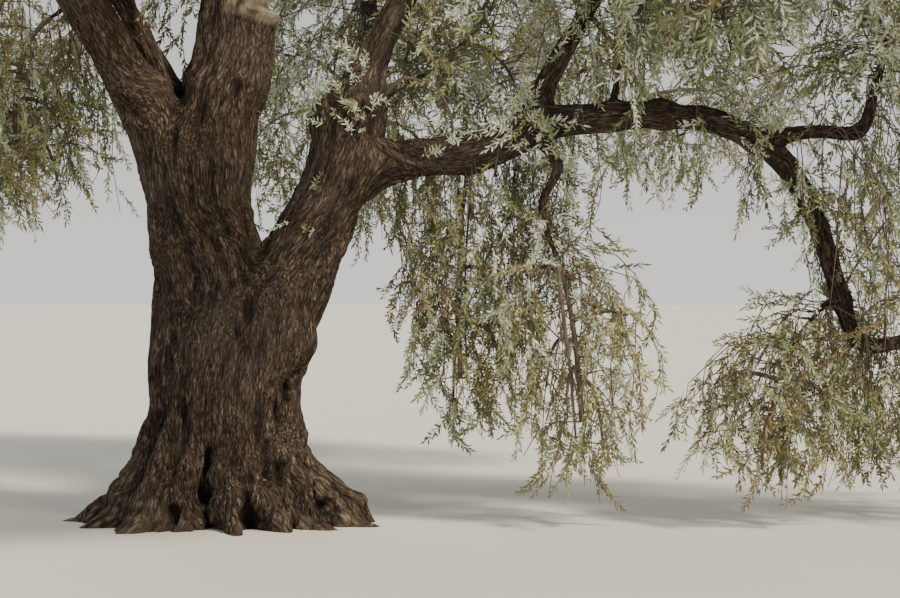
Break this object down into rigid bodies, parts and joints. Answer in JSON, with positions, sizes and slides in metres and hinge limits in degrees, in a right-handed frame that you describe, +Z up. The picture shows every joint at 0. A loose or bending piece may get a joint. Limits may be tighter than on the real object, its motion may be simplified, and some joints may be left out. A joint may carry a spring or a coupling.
{
  "type": "old olive tree",
  "caption": "old olive tree with a fluted trunk on flared roots, two boles, a long bough arching over to hang down again, and a grey-green crown",
  "frame": {"origin": "the middle of the flat cut under the trunk, at ground level, which is the mount ground", "axes": "+Z up, +X along the long bough that arches over and hangs down again, -Y the side the tree is seen from"},
  "size_m": [9.4784, 7.611, 7.8508],
  "materials": {
    "bark": "deeply furrowed grey-brown bark",
    "leaves": "matt grey-green leaves, silvery beneath"
  },
  "bodies": {
    "root": {"trunk": "bark", "left_bole": "bark", "right_bole": "bark", "arch_fall": "bark", "arch_hook": "bark", "arch_rise": "bark", "arch_shoot": "bark", "arch_spur": "bark", "arch_upright": "bark", "back_bough": "bark", "back_low_bough": "bark", "centre_back_bough": "bark", "centre_bough": "bark", "centre_front_bough": "bark", "curtain_limb": "bark", "drop_limb": "bark", "fall_shoot": "bark", "front_right_bough": "bark", "left_back_bough": "bark", "left_back_low_bough": "bark", "left_bough": "bark", "left_front_bough": "bark", "left_low_bough": "bark", "left_shoot": "bark", "left_side_bough": "bark", "right_back_bough": "bark", "right_back_low_bough": "bark", "rise_shoot": "bark", "upper_right_bough": "bark", "foliage_arch_crown": "leaves", "foliage_back": "leaves", "foliage_back_weeping": "leaves", "foliage_crown_top": "leaves", "foliage_drop_curtain": "leaves", "foliage_fall_curtain": "leaves", "foliage_front_left": "leaves", "foliage_front_right": "leaves", "foliage_inner_curtain": "leaves", "foliage_left": "leaves", "foliage_left_back": "leaves", "foliage_left_back_weeping": "leaves", "foliage_left_spray": "leaves", "foliage_left_weeping": "leaves", "foliage_right": "leaves", "foliage_right_back": "leaves", "foliage_right_back_weeping": "leaves", "foliage_right_curtain": "leaves", "foliage_rise_crown": "leaves", "foliage_spur_crown": "leaves", "foliage_upper_back": "leaves", "foliage_upper_front": "leaves", "foliage_upper_left": "leaves", "foliage_upper_right": "leaves"}
  },
  "joints": []
}
